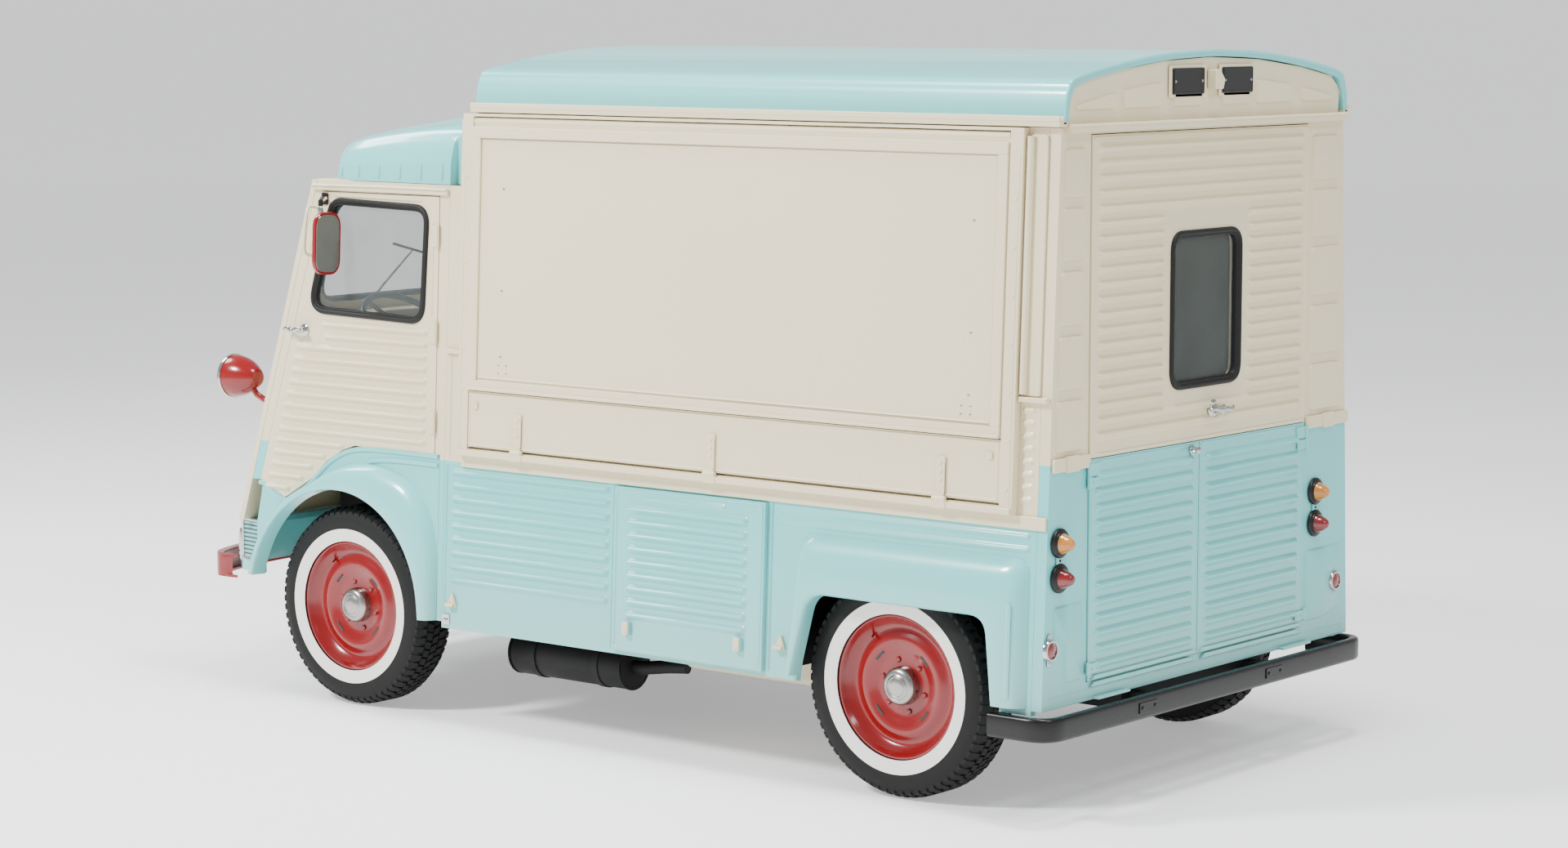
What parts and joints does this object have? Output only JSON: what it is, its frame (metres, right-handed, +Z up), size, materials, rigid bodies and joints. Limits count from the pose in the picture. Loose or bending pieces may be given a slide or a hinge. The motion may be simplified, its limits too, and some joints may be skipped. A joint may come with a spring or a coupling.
{
  "type": "mail delivery truck",
  "caption": "Corrugated forward-control step van with a domed high box roof, top-hung serving hatch, glazed tailgate over split rear doors, rear-hinged cab doors and steered front wheels.",
  "frame": {"origin": "on the ground, at the middle of the bounding box's base", "axes": "+X forward along the truck, +Y to its left (driver's and serving side), +Z up"},
  "size_m": [4.038, 2.0386, 2.4],
  "materials": {
    "cream_paint": "satin enamel",
    "turquoise_paint": "gloss enamel",
    "red_paint": "gloss enamel",
    "black_paint": "gloss enamel",
    "tyre": "matt with a pale ring on the sidewall",
    "chrome": "polished",
    "steel": "brushed",
    "glass": "clear",
    "lens": "ribbed, gloss",
    "vinyl": "soft, stitched"
  },
  "bodies": {
    "truck_body": {"chassis_frame": "black_paint", "box_left_wall": "turquoise_paint", "box_right_wall": "turquoise_paint", "box_roof": "turquoise_paint", "rear_frame": "cream_paint", "bulkhead": "cream_paint", "cab_floor": "black_paint", "cab_front": "cream_paint", "cab_roof": "turquoise_paint", "windscreen": "glass", "front_apron": "turquoise_paint", "front_bumper": "red_paint", "rear_bumper": "black_paint", "hatch_frame": "cream_paint", "silencer": "black_paint", "engine_unit": "steel", "bench_seat": "vinyl", "serving_counter": "steel", "back_counter": "steel", "tail_lamps_left": "lens", "tail_lamps_right": "lens", "door_frame_left": "cream_paint", "door_frame_right": "cream_paint", "front_fender_left": "turquoise_paint", "front_fender_right": "turquoise_paint", "rear_fender_left": "turquoise_paint", "rear_fender_right": "turquoise_paint", "headlight_left": "red_paint", "headlight_right": "red_paint"},
    "bonnet": {"bonnet": "cream_paint"},
    "serving_hatch": {"serving_hatch": "cream_paint"},
    "counter_flap": {"counter_flap": "cream_paint"},
    "access_flap": {"access_flap": "turquoise_paint"},
    "tailgate": {"tailgate": "cream_paint", "tailgate_glass": "glass"},
    "tailgate_handle": {"tailgate_handle": "chrome"},
    "rear_door_left": {"rear_door_left": "turquoise_paint"},
    "rear_door_right": {"rear_door_right": "turquoise_paint"},
    "rear_door_latch": {"rear_door_latch": "chrome"},
    "steering_wheel": {"steering_wheel": "black_paint"},
    "wiper_left": {"wiper_left": "black_paint"},
    "wiper_right": {"wiper_right": "black_paint"},
    "cab_door_left": {"cab_door_left": "cream_paint", "door_glass_left": "glass"},
    "cab_handle_left": {"cab_handle_left": "chrome"},
    "mirror_left": {"mirror_left": "red_paint"},
    "knuckle_left": {"knuckle_left": "steel"},
    "front_wheel_left": {"rim_front_left": "red_paint", "tyre_front_left": "tyre"},
    "rear_wheel_left": {"rim_rear_left": "red_paint", "tyre_rear_left": "tyre"},
    "cab_door_right": {"cab_door_right": "cream_paint", "door_glass_right": "glass"},
    "cab_handle_right": {"cab_handle_right": "chrome"},
    "mirror_right": {"mirror_right": "red_paint"},
    "knuckle_right": {"knuckle_right": "steel"},
    "front_wheel_right": {"rim_front_right": "red_paint", "tyre_front_right": "tyre"},
    "rear_wheel_right": {"rim_rear_right": "red_paint", "tyre_rear_right": "tyre"}
  },
  "joints": [
    {"name": "steer_left", "type": "hinge", "parent": "truck_body", "child": "knuckle_left", "pos_m": [1.149, 0.64, 0.365], "axis": [0, 0, 1], "range_deg": [-25, 25]},
    {"name": "front_wheel_spin_left", "type": "hinge", "parent": "knuckle_left", "child": "front_wheel_left", "pos_m": [1.149, 0.795, 0.365], "axis": [0, 1, 0], "continuous": true},
    {"name": "rear_wheel_spin_left", "type": "hinge", "parent": "truck_body", "child": "rear_wheel_left", "pos_m": [-1.351, 0.795, 0.365], "axis": [0, 1, 0], "continuous": true},
    {"name": "cab_door_swing_left", "type": "hinge", "parent": "truck_body", "child": "cab_door_left", "pos_m": [0.684, 0.89734, 1.3004], "axis": [0, -0.0449, 0.999], "range_deg": [0, 65]},
    {"name": "cab_handle_turn_left", "type": "hinge", "parent": "cab_door_left", "child": "cab_handle_left", "pos_m": [1.355, 0.90536, 1.3669], "axis": [0, 0.999, 0.0449], "range_deg": [0, 40]},
    {"name": "mirror_turn_left", "type": "hinge", "parent": "cab_door_left", "child": "mirror_left", "pos_m": [1.209, 0.94128, 1.81541], "axis": [0, -0.0449, 0.999], "range_deg": [-25, 25]},
    {"name": "steer_right", "type": "hinge", "parent": "truck_body", "child": "knuckle_right", "pos_m": [1.149, -0.64, 0.365], "axis": [0, 0, 1], "range_deg": [-25, 25]},
    {"name": "front_wheel_spin_right", "type": "hinge", "parent": "knuckle_right", "child": "front_wheel_right", "pos_m": [1.149, -0.795, 0.365], "axis": [0, 1, 0], "continuous": true},
    {"name": "rear_wheel_spin_right", "type": "hinge", "parent": "truck_body", "child": "rear_wheel_right", "pos_m": [-1.351, -0.795, 0.365], "axis": [0, 1, 0], "continuous": true},
    {"name": "cab_door_swing_right", "type": "hinge", "parent": "truck_body", "child": "cab_door_right", "pos_m": [0.684, -0.89734, 1.3004], "axis": [0, 0.0449, 0.999], "range_deg": [-65, 0]},
    {"name": "cab_handle_turn_right", "type": "hinge", "parent": "cab_door_right", "child": "cab_handle_right", "pos_m": [1.355, -0.90536, 1.3669], "axis": [0, -0.999, 0.0449], "range_deg": [-40, 0]},
    {"name": "mirror_turn_right", "type": "hinge", "parent": "cab_door_right", "child": "mirror_right", "pos_m": [1.209, -0.94128, 1.81541], "axis": [0, 0.0449, 0.999], "range_deg": [-25, 25]},
    {"name": "steering_wheel_turn", "type": "hinge", "parent": "truck_body", "child": "steering_wheel", "pos_m": [1.249, 0.45, 1.345], "axis": [-0.6131, 0, 0.79], "range_deg": [-450, 450]},
    {"name": "bonnet_lift", "type": "hinge", "parent": "truck_body", "child": "bonnet", "pos_m": [1.52908, 0, 1.288], "axis": [0, 1, 0], "range_deg": [-60, 0]},
    {"name": "serving_hatch_lift", "type": "hinge", "parent": "truck_body", "child": "serving_hatch", "pos_m": [-0.651, 0.86843, 2.14481], "axis": [1, 0, 0], "range_deg": [0, 95]},
    {"name": "counter_flap_drop", "type": "hinge", "parent": "truck_body", "child": "counter_flap", "pos_m": [-0.651, 0.94164, 1.00479], "axis": [1, 0, 0], "range_deg": [-90, 0]},
    {"name": "access_flap_lift", "type": "hinge", "parent": "truck_body", "child": "access_flap", "pos_m": [-0.516, 0.91367, 0.92538], "axis": [1, 0, 0], "range_deg": [0, 75]},
    {"name": "tailgate_lift", "type": "hinge", "parent": "truck_body", "child": "tailgate", "pos_m": [-1.967, 0.035, 2.153], "axis": [0, 1, 0], "range_deg": [0, 95]},
    {"name": "tailgate_handle_turn", "type": "hinge", "parent": "tailgate", "child": "tailgate_handle", "pos_m": [-1.971, -0.024, 1.233], "axis": [1, 0, 0], "range_deg": [0, 90]},
    {"name": "rear_door_swing_left", "type": "hinge", "parent": "truck_body", "child": "rear_door_left", "pos_m": [-1.969, 0.693, 0.78], "axis": [0, 0, 1], "range_deg": [-110, 0]},
    {"name": "rear_door_swing_right", "type": "hinge", "parent": "truck_body", "child": "rear_door_right", "pos_m": [-1.969, -0.623, 0.78], "axis": [0, 0, 1], "range_deg": [0, 110]},
    {"name": "rear_latch_turn", "type": "hinge", "parent": "rear_door_left", "child": "rear_door_latch", "pos_m": [-1.971, 0.096, 1.108], "axis": [1, 0, 0], "range_deg": [-90, 0]},
    {"name": "wiper_sweep_left", "type": "hinge", "parent": "truck_body", "child": "wiper_left", "pos_m": [1.4884, 0.42, 1.436], "axis": [0.9618, 0, 0.2736], "range_deg": [-75, 0]},
    {"name": "wiper_sweep_right", "type": "hinge", "parent": "truck_body", "child": "wiper_right", "pos_m": [1.4884, -0.33, 1.436], "axis": [0.9618, 0, 0.2736], "range_deg": [-75, 0]}
  ],
  "couplings": [
    {"joint": "steer_right", "follows": "steer_left", "ratio": 1},
    {"joint": "steering_wheel_turn", "follows": "steer_left", "ratio": 17},
    {"joint": "wiper_sweep_right", "follows": "wiper_sweep_left", "ratio": 1}
  ]
}
